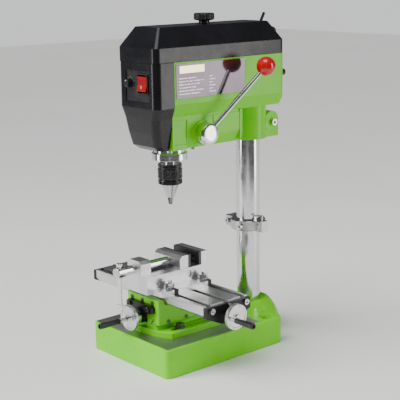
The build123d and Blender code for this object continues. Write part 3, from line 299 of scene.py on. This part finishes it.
def ground_mask(made):
    """1 on the flat ground top of the base, 0 on the paint, with a slightly uneven border."""
    low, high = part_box("base_casting")
    just_below_top, rear_edge, inset = 0.0457, -0.064, 0.0034
    split = made.node("ShaderNodeSeparateXYZ")
    made.link(made.coords, split.inputs[0])
    wobble = made.spread(made.noise(40, 3), 0.3, 0.7, -0.0006, 0.0006)
    x_abs = made.maths("ADD", made.maths("ABSOLUTE", split.outputs["X"], 0), wobble)
    y_in = made.maths("ADD", split.outputs["Y"], wobble)
    inside = made.maths("LESS_THAN", x_abs, high.x - inset)
    inside = made.maths("MULTIPLY", inside, made.maths("GREATER_THAN", y_in, low.y + inset))
    inside = made.maths("MULTIPLY", inside, made.maths("LESS_THAN", y_in, rear_edge))
    return made.maths("MULTIPLY", inside, made.maths("GREATER_THAN", split.outputs["Z"], just_below_top))


def black_enamel(name="black_enamel", base=(0.012, 0.012, 0.014), rough_low=0.26, rough_high=0.38):
    """Satin black paint on pressed sheet, with dust and pale wear along the edges."""
    made = Finish(name, roughness=0.32, Specular_IOR_Level=0.32, Coat_Weight=0.12, Coat_Roughness=0.15)
    slow = made.spread(made.noise(14, 4), 0.35, 0.65, 0.0, 1.0)
    colour = made.mix(slow, base, tuple(c * 1.7 for c in base))
    worn = made.maths(
        "MULTIPLY", made.edges(0.0006), made.spread(made.noise(140, 5, 0.7), 0.52, 0.70, 0.0, 0.3),
    )
    colour = made.mix(worn, colour, (0.12, 0.12, 0.13))
    rough = made.spread(made.noise(45, 4), 0.3, 0.7, rough_low, rough_high)
    normal = made.bump(made.noise(900, 3, 0.5), 0.00007, 0.4, made.rounded_normal(0.0008))
    return made.finish(colour, rough, normal)


def moulded_plastic(name, base, rough=0.42, grain=1400, coat=0.0):
    made = Finish(name, roughness=rough, Coat_Weight=coat, Coat_Roughness=0.08, IOR=1.48)
    slow = made.spread(made.noise(30, 3), 0.35, 0.65, 0.0, 1.0)
    colour = made.mix(slow, base, tuple(min(1.0, c * 1.25 + 0.002) for c in base))
    worn = made.maths(
        "MULTIPLY", made.edges(0.0004), made.spread(made.noise(300, 4, 0.7), 0.45, 0.7, 0.0, 0.25),
    )
    colour = made.mix(worn, colour, tuple(min(1.0, c * 1.6 + 0.04) for c in base))
    roughness = made.spread(made.noise(120, 4), 0.3, 0.7, rough * 0.85, rough * 1.15)
    return made.finish(
        colour, roughness, made.bump(made.noise(grain, 3), 0.00005, 0.4, made.rounded_normal(0.0005)),
    )


def machined(name, base, rough=0.28, stretch=(30, 30, 1800), wear=0.25, metallic=1.0, grime=0.35, cut=0.45):
    """Cut or ground metal. The stretch sets which way the tool marks run."""
    made = Finish(name, metallic=metallic, roughness=rough)
    marks = made.noise(1.0, 4, 0.65, stretch=stretch)
    slow = made.spread(made.noise(22, 4), 0.35, 0.68, 0.0, 1.0)
    dark = tuple(c * (1 - grime * 0.55) for c in base)
    colour = made.mix(slow, dark, base)
    bright = tuple(min(1.0, c * 1.25) for c in base)
    colour = made.mix(made.spread(marks, 0.45, 0.65, 0.0, 0.45), colour, bright)
    colour = made.mix(made.maths("MULTIPLY", made.edges(0.0005), wear), colour, (0.88, 0.88, 0.88))
    roughness = made.maths("ADD", made.spread(marks, 0.35, 0.65, rough * 0.8, rough * 1.25),
                           made.spread(made.noise(50, 4), 0.35, 0.7, -0.03, 0.05))
    normal = made.bump(marks, 0.00004, cut, made.rounded_normal(0.0005))
    return made.finish(colour, roughness, normal)


def turned_metal(name, axis, centre, base=(0.80, 0.80, 0.81), rough=0.2):
    """Metal faced on a lathe: fine rings about the piece's own axis."""
    made = Finish(name, metallic=1.0, roughness=rough)
    shift = made.node("ShaderNodeVectorMath", operation="SUBTRACT")
    made.link(made.coords, shift.inputs[0])
    shift.inputs[1].default_value = tuple(centre)
    flatten = made.node("ShaderNodeVectorMath", operation="MULTIPLY")
    made.link(shift.outputs[0], flatten.inputs[0])
    flatten.inputs[1].default_value = tuple(0.0 if letter == axis else 1.0 for letter in "XYZ")
    radius = made.node("ShaderNodeVectorMath", operation="LENGTH")
    made.link(flatten.outputs[0], radius.inputs[0])
    rings = made.node("ShaderNodeTexNoise", noise_dimensions="1D")
    rings.inputs["Scale"].default_value = 2600
    made.link(radius.outputs["Value"], rings.inputs["W"])
    marks = rings.outputs["Fac"]
    slow = made.spread(made.noise(60, 4), 0.35, 0.65, 0.0, 1.0)
    colour = made.mix(slow, tuple(c * 0.86 for c in base), base)
    colour = made.mix(made.maths("MULTIPLY", made.edges(0.0005), 0.4), colour, (0.93, 0.93, 0.93))
    roughness = made.spread(marks, 0.3, 0.7, rough * 0.75, rough * 1.35)
    return made.finish(colour, roughness, made.bump(marks, 0.00004, 0.5, made.rounded_normal(0.0004)))


def label_finish():
    """A dark metallic plate with a blank cream panel and faint rows that stand for print."""
    made = Finish("blank_plate", metallic=0.75, roughness=0.09, Coat_Weight=0.3, Coat_Roughness=0.04)
    low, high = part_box("rating_label")
    split = made.node("ShaderNodeSeparateXYZ")
    made.link(made.coords, split.inputs[0])
    along = made.spread(split.outputs["Y"], low.y, high.y, 0.0, 1.0)
    up = made.spread(split.outputs["Z"], low.z, high.z, 0.0, 1.0)

    def patch(left, right, bottom, top):
        inside = made.maths(
            "MULTIPLY", made.maths("GREATER_THAN", along, left), made.maths("LESS_THAN", along, right),
        )
        inside = made.maths("MULTIPLY", inside, made.maths("GREATER_THAN", up, bottom))
        return made.maths("MULTIPLY", inside, made.maths("LESS_THAN", up, top))

    slow = made.spread(made.noise(25, 3), 0.35, 0.65, 0.0, 1.0)
    colour = made.mix(slow, (0.085, 0.066, 0.085), (0.11, 0.088, 0.11))
    colour = made.mix(patch(0.05, 0.40, 0.72, 0.93), colour, (0.78, 0.72, 0.40))
    broken = made.spread(made.noise(420, 2), 0.46, 0.54, 0.15, 0.62)
    for row in range(6):
        bottom = 0.56 - 0.09 * row
        end = 0.28 + 0.05 * ((row * 2) % 3)
        colour = made.mix(
            made.maths("MULTIPLY", patch(0.04, end, bottom, bottom + 0.028), broken), colour,
            (0.62, 0.60, 0.62),
        )
        short = patch(0.47, 0.52 + 0.04 * (row % 2), bottom, bottom + 0.028)
        colour = made.mix(made.maths("MULTIPLY", short, broken), colour, (0.62, 0.60, 0.62))
    roughness = made.spread(made.noise(200, 4), 0.3, 0.7, 0.07, 0.13)
    return made.finish(
        colour, roughness, made.bump(made.noise(700, 2), 0.00002, 0.3, made.rounded_normal(0.0003)),
    )


def belt_rubber():
    made = Finish("belt_rubber", roughness=0.75)
    weave = made.node("ShaderNodeTexWave", wave_type="BANDS")
    weave.inputs["Scale"].default_value = 260
    weave.inputs["Distortion"].default_value = 1.5
    made.link(made.coords, weave.inputs["Vector"])
    colour = made.mix(
        made.spread(made.noise(80, 4), 0.3, 0.7, 0.0, 1.0), (0.014, 0.014, 0.014), (0.035, 0.034, 0.033),
    )
    return made.finish(colour, None, made.bump(weave.outputs["Fac"], 0.0001, 0.5))


def make_finishes():
    """Every finish by the record's slot name."""
    steel = (0.66, 0.66, 0.67)
    return {
        "green_paint": green_paint(),
        "black_cover": black_enamel("black_cover_enamel", (0.006, 0.006, 0.008), 0.22, 0.32),
        "black_paint": black_enamel("black_casting_enamel", (0.006, 0.006, 0.007), 0.28, 0.42),
        "black_plastic": moulded_plastic("black_plastic", (0.012, 0.012, 0.013), 0.34),
        "red_plastic": moulded_plastic("red_switch_plastic", (0.30, 0.001, 0.002), 0.28, 900, 0.1),
        "red_ball": moulded_plastic("red_ball_plastic", (0.50, 0.002, 0.003), 0.16, 500, 0.6),
        "ground_steel": machined("ground_steel", (0.72, 0.72, 0.73), 0.13, (25, 25, 2200), grime=0.18),
        "bright_steel": machined(
            "bright_steel", (0.58, 0.58, 0.59), 0.18, (40, 40, 2600), grime=0.3, wear=0.5,
        ),
        "bearing_steel": machined("bearing_steel", steel, 0.2),
        "spring_steel": machined("spring_steel", (0.20, 0.21, 0.26), 0.28),
        "black_steel": machined("black_oxide_steel", (0.035, 0.035, 0.038), 0.24, metallic=0.8, wear=0.5),
        "jaw_steel": machined(
            "jaw_steel", (0.07, 0.07, 0.075), 0.35, (1800, 30, 30), metallic=0.8, wear=0.6,
        ),
        "chrome_rod": machined("polished_rod", (0.84, 0.84, 0.85), 0.07, (200, 200, 200), grime=0.1),
        "grey_metal": machined("cast_collar", (0.60, 0.60, 0.61), 0.28, (300, 300, 1500)),
        "bright_screws": machined("zinc_screws", (0.72, 0.72, 0.73), 0.24, (500, 500, 500)),
        "dark_screws": machined(
            "black_screws", (0.10, 0.10, 0.10), 0.30, (500, 500, 500), metallic=0.8, wear=0.6,
        ),
        "bronze": machined("bronze", (0.55, 0.36, 0.14), 0.30, (600, 600, 600)),
        "label_plate": label_finish(),
        "dark_motor": black_enamel("motor_enamel", (0.03, 0.03, 0.032), 0.35, 0.5),
        "belt_rubber": belt_rubber(),
        "pulley_alloy": machined("pulley_alloy", (0.74, 0.74, 0.75), 0.25, (60, 60, 2000)),
        "dial_metal": machined("satin_dial", (0.66, 0.66, 0.67), 0.22, (600, 600, 600)),
        "wheel_metal": machined("wheel_metal", (0.82, 0.82, 0.83), 0.26, (500, 500, 500)),
        "table_iron": machined(
            "ground_table", (0.72, 0.72, 0.73), 0.36, (60, 1500, 1500), grime=0.2, wear=0.4, cut=0.2,
        ),
        "vise_iron": machined(
            "ground_vise", (0.76, 0.76, 0.77), 0.36, (900, 60, 1500), grime=0.15, wear=0.4, cut=0.12,
        ),
    }


# A point on the axis of each feed screw
X_SCREW_AXIS = (0.155, -0.1735, 0.0955)
Y_SCREW_AXIS = (0.0, -0.26, 0.075)


def middle_of(node):
    low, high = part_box(node)
    return (low + high) / 2


OWN_FINISH = {
    "base_casting": base_paint,
    "x_handwheel": lambda: turned_metal("x_wheel_turned", "X", X_SCREW_AXIS, rough=0.28),
    "y_handwheel": lambda: turned_metal("y_wheel_turned", "Y", Y_SCREW_AXIS, rough=0.26),
    "lever_hub": lambda: turned_metal("hub_turned", "X", middle_of("lever_hub"), rough=0.14),
}
for number in (1, 2, 3):
    OWN_FINISH[f"chuck_jaw_{number}"] = lambda: machined(
        "bare_jaw", (0.22, 0.22, 0.23), 0.24, (300, 300, 1500), wear=0.6,
    )


def dress_nodes(finishes):
    """Gives every CAD node its finish in place of the plain one."""
    slot_of = {row["node"]: row["material_slot"] for row in frame["record"]["subparts"]}
    for name, piece in frame["nodes"].items():
        finish = OWN_FINISH[name]() if name in OWN_FINISH else finishes[slot_of[name]]
        piece.data.materials.clear()
        piece.data.materials.append(finish)
        for face in piece.data.polygons:
            face.material_index = 0
        smooth_by_angle(piece)


def smooth_by_angle(piece, angle=radians(28)):
    """Smooth shading, with the edges sharper than the angle kept crisp. It changes no point."""
    mesh = piece.data
    mesh.shade_smooth()
    shape = bmesh.new()
    shape.from_mesh(mesh)
    sharp = [
        edge.index for edge in shape.edges if len(edge.link_faces) != 2 or edge.calc_face_angle(0) > angle
    ]
    shape.free()
    for index in sharp:
        mesh.edges[index].use_edge_sharp = True


# Mesh helpers

def new_piece(name, points, faces, body, slot, finish, smooth=True):
    mesh = bpy.data.meshes.new(name)
    mesh.from_pydata([tuple(p) for p in points], [], faces)
    mesh.validate()
    piece = bpy.data.objects.new(name, mesh)
    bpy.context.scene.collection.objects.link(piece)
    shape = bmesh.new()
    shape.from_mesh(mesh)
    bmesh.ops.recalc_face_normals(shape, faces=shape.faces)
    shape.to_mesh(mesh)
    shape.free()
    if smooth:
        smooth_by_angle(piece, radians(35))
    mesh.materials.append(finish)
    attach(piece, body)
    return piece


def tube_sections(path, radii, count):
    """Points and faces of a closed tube through sections. Each section is (centre, axis_u, axis_v)."""
    points = []
    for (centre, u, v), radius in zip(path, radii):
        for k in range(count):
            turn = 2 * pi * k / count
            points.append(centre + u * (cos(turn) * radius) + v * (sin(turn) * radius))
    faces = []
    for s in range(len(path) - 1):
        for k in range(count):
            a, b = s * count + k, s * count + (k + 1) % count
            faces.append((a, b, b + count, a + count))
    faces.append(tuple(range(count - 1, -1, -1)))
    last = (len(path) - 1) * count
    faces.append(tuple(range(last, last + count)))
    return points, faces


def thread_points(start, direction, length, radius, pitch, depth):
    """A threaded rod: its surface is one helical ridge, which fades out at both ends."""
    direction = Vector(direction).normalized()
    side = direction.orthogonal().normalized()
    other = direction.cross(side)
    around, along = 28, 5
    rows = int(length / pitch * along)
    points = []
    for row in range(rows + 1):
        for k in range(around):
            turn = 2 * pi * k / around
            phase = (row / along - k / around) % 1.0
            ridge = min(1.0, max(0.0, 2.0 - abs(phase - 0.5) * 5.0))
            fade = min(1.0, row / along, (rows - row) / along)
            r = radius - depth * (1 - ridge) - depth * 0.8 * (1 - fade)
            at = Vector(start) + direction * (length * row / rows)
            points.append(at + side * (cos(turn) * r) + other * (sin(turn) * r))
    faces = []
    for row in range(rows):
        for k in range(around):
            a, b = row * around + k, row * around + (k + 1) % around
            faces.append((a, b, b + around, a + around))
    faces.append(tuple(range(around - 1, -1, -1)))
    last = rows * around
    faces.append(tuple(range(last, last + around)))
    return points, faces


def join_parts(parts):
    """Several (points, faces) sets as one set."""
    points, faces = [], []
    for some_points, some_faces in parts:
        start = len(points)
        points += some_points
        faces += [tuple(start + i for i in face) for face in some_faces]
    return points, faces


def plain_rod(start, direction, stations, count=36):
    """A turned rod from (distance, radius) stations along a direction."""
    direction = Vector(direction).normalized()
    side = direction.orthogonal().normalized()
    other = direction.cross(side)
    path = [(Vector(start) + direction * distance, side, other) for distance, _ in stations]
    return tube_sections(path, [radius for _, radius in stations], count)


def slab(low, high, edge=0.00012):
    """A thin block with small chamfers all round, for marks and strips."""
    (x0, y0, z0), (x1, y1, z1) = low, high
    e = min(edge, (x1 - x0) / 3, (y1 - y0) / 3, (z1 - z0) / 3)
    points = []
    for x, ix in ((x0, 1), (x1, -1)):
        for y, iy in ((y0, 1), (y1, -1)):
            for z, iz in ((z0, 1), (z1, -1)):
                points += [
                    Vector((x, y + iy * e, z + iz * e)), Vector((x + ix * e, y, z + iz * e)),
                    Vector((x + ix * e, y + iy * e, z)),
                ]
    shape = bmesh.new()
    for point in points:
        shape.verts.new(point)
    bmesh.ops.convex_hull(shape, input=shape.verts)
    shape.verts.index_update()
    result = [v.co.copy() for v in shape.verts], [tuple(v.index for v in f.verts) for f in shape.faces]
    shape.free()
    return result


# Detail pieces

def feed_screw(name, node, body, direction, plain_start, plain_end, steel):
    """A feed screw in place of its CAD node: a thread with a plain journal at one end or both."""
    low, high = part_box(node)
    along = Vector(direction)
    length = (high - low).dot(along)
    start = (low + high) / 2 - along * length / 2
    outer, root, tip = 0.0049, 0.0040, 0.0042
    chamfer, step = 0.0008, 0.0002
    first = [(0, tip), (chamfer, outer), (plain_start, outer), (plain_start + step, root)]
    threaded = length - plain_start - plain_end
    parts = [
        plain_rod(start, along, first),
        thread_points(start + along * plain_start, along, threaded, outer, 0.002, 0.0008),
    ]
    if plain_end:
        turn_down = length - plain_end
        last = [(turn_down - step, root), (turn_down, outer), (length - chamfer, outer), (length, tip)]
        parts.append(plain_rod(start, along, last))
    screw = new_piece(name, *join_parts(parts), body, "ground_steel", steel)
    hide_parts(node)


def leadscrews(finishes):
    steel = finishes["ground_steel"]
    feed_screw("x_screw_thread", "x_leadscrew", "x_wheel", (1, 0, 0), 0.018, 0.034, steel)
    feed_screw("y_screw_thread", "y_leadscrew", "y_wheel", (0, 1, 0), 0.034, 0.0, steel)


def spring_coil(finishes):
    """The flat clock spring in its cap, wound as a real strip."""
    low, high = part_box("return_spring")
    centre = (low + high) / 2
    outer = (high.y - low.y) / 2 - 0.0001
    inner = 0.0088
    turns, steps, thick = 5, 40, 0.0003
    x0, x1 = low.x + 0.0002, high.x - 0.0002
    points, faces = [], []
    for k in range(turns * steps + 1):
        turn = 2 * pi * k / steps
        r = inner + (outer - inner) * k / (turns * steps)
        for radius, x in ((r - thick, x0), (r, x0), (r, x1), (r - thick, x1)):
            points.append(Vector((x, centre.y + cos(turn) * radius, centre.z + sin(turn) * radius)))
    for k in range(turns * steps):
        for c in range(4):
            a, b = k * 4 + c, k * 4 + (c + 1) % 4
            faces.append((a, b, b + 4, a + 4))
    faces += [(3, 2, 1, 0), tuple(turns * steps * 4 + c for c in range(4))]
    coil = new_piece("spring_strip", points, faces, "head", "spring_steel", finishes["spring_steel"])
    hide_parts("return_spring")


def table_scale(finishes):
    """Engraved lines along the table's front edge, every 2 mm, with longer ones each 10 mm."""
    low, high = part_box("cross_table")
    margin, pitch, half_line, from_top = 0.015, 0.002, 0.00012, 0.0015
    parts = []
    for k in range(int((high.x - low.x - 2 * margin) / pitch) + 1):
        x = low.x + margin + pitch * k
        tall = 0.0045 if k % 5 == 0 else 0.0025
        bottom = (x - half_line, low.y - 0.00004, high.z - from_top - tall)
        top = (x + half_line, low.y + 0.0002, high.z - from_top)
        parts.append(slab(bottom, top, 0.00002))
    black = finishes["black_plastic"]
    new_piece("table_scale_marks", *join_parts(parts), "table", "black_plastic", black, smooth=False)


SURROUND = 0.0022  # how far the rocker's frame stands out of the switch panel


def switch_marks():
    """Ticks round the speed knob, its pointer dot, and the plain bar on the rocker."""
    white = moulded_plastic("white_marks", (0.75, 0.75, 0.73), 0.45)
    knob_low, knob_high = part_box("speed_knob")
    centre = (knob_low + knob_high) / 2
    panel_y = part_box("switch_bezel")[0].y + SURROUND
    parts = []
    half_tick, tick_ring, ticks, sweep = Vector((0.0004, 0.00012, 0.0004)), 0.0088, 9, 270
    for k in range(ticks):
        turn = radians(sweep * k / (ticks - 1) - sweep / 2)
        direction = Vector((sin(turn), 0, cos(turn)))
        middle = Vector((centre.x, panel_y, centre.z)) + direction * tick_ring
        parts.append(slab(middle - half_tick, middle + half_tick, 0.0001))
    new_piece("speed_ticks", *join_parts(parts), "head", "black_plastic", white)
    rocker_low, rocker_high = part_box("rocker_switch")
    bar = Vector(((rocker_low.x + rocker_high.x) / 2, rocker_low.y + 0.0006, rocker_low.z + 0.0065))
    bar_low, bar_high = bar - Vector((0.0005, 0.0006, 0.0022)), bar + Vector((0.0005, 0.0012, 0.0022))
    new_piece("rocker_mark", *slab(bar_low, bar_high), "rocker", "red_plastic", white)
    front = knob_low.y - 0.0001
    stations = [(0, 0.0004), (0.0002, 0.0009), (0.0006, 0.0010)]
    dot = plain_rod((centre.x, front, centre.z + 0.0042), (0, 1, 0), stations, 20)
    new_piece("speed_pointer", *dot, "speed_dial", "black_plastic", white)


def label_rivets(finishes):
    """Four small domed rivets at the plate's corners."""
    low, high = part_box("rating_label")
    stations = [(0, 0.0013), (0.0003, 0.00125), (0.0006, 0.0009), (0.0008, 0.0004)]
    parts = []
    for y in (low.y + 0.0035, high.y - 0.0035):
        for z in (low.z + 0.0035, high.z - 0.0035):
            parts.append(plain_rod((high.x - 0.0001, y, z), (1, 0, 0), stations, 20))
    new_piece("label_rivets", *join_parts(parts), "head", "bright_screws", finishes["bright_screws"])


make_camera()
make_stage()
finishes = make_finishes()
dress_nodes(finishes)
leadscrews(finishes)
spring_coil(finishes)
table_scale(finishes)
switch_marks()
label_rivets(finishes)
